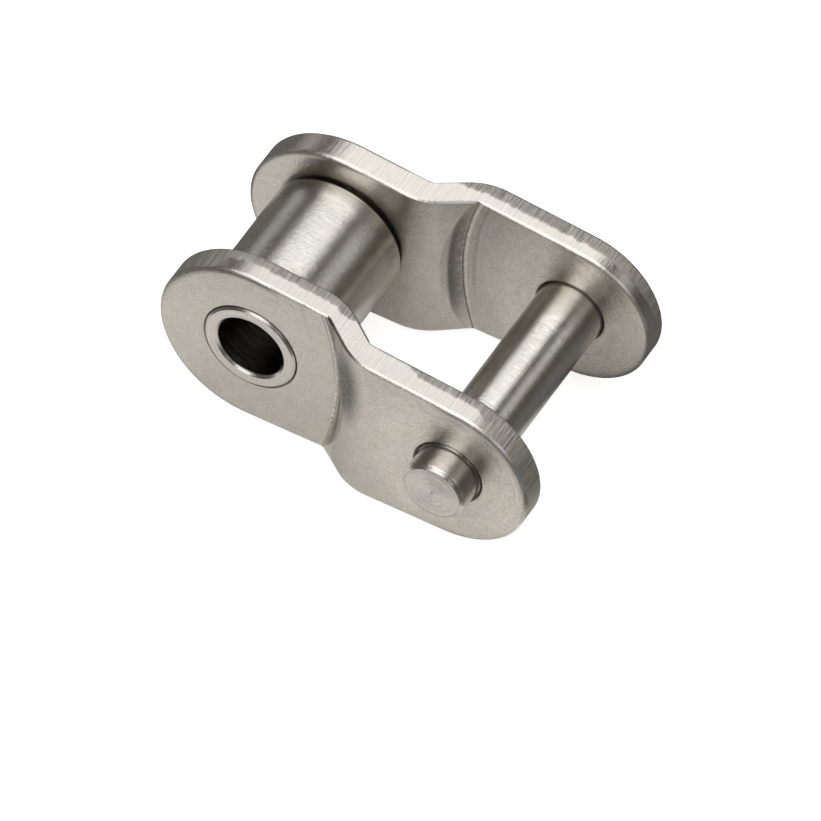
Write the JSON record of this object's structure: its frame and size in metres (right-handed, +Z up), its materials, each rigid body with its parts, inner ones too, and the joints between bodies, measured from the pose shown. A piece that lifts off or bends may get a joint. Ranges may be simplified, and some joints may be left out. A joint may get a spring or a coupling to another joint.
{
  "type": "offset chain link",
  "caption": "Offset roller chain link: cranked side plates joined by a bushing with a free roller at the narrow end and a cottered pin at the wide end.",
  "frame": {"origin": "middle of the bushing bore, on its axis", "axes": "+X along the pitch from the bushing to the pin, +Y along the bushing and the pin from the front plate to the rear plate, +Z up, across the side plates"},
  "size_m": [0.0568, 0.0458, 0.0264],
  "materials": {
    "plate_steel": "tumbled stainless steel, fine orange peel and faint scratches",
    "bushing_steel": "turned stainless steel, satin",
    "roller_steel": "satin stainless steel with fine grain around the roller",
    "pin_steel": "satin stainless steel, turning rings on the ends",
    "cotter_steel": "plain drawn stainless wire"
  },
  "bodies": {
    "link": {"front_offset_plate": "plate_steel", "rear_offset_plate": "plate_steel", "bushing": "bushing_steel", "pin": "pin_steel", "cotter_pin": "cotter_steel"},
    "roller": {"roller": "roller_steel"}
  },
  "joints": [
    {"name": "roller_spin", "type": "hinge", "parent": "link", "child": "roller", "pos_m": [0, 0, 0], "axis": [0, 1, 0], "continuous": true}
  ]
}
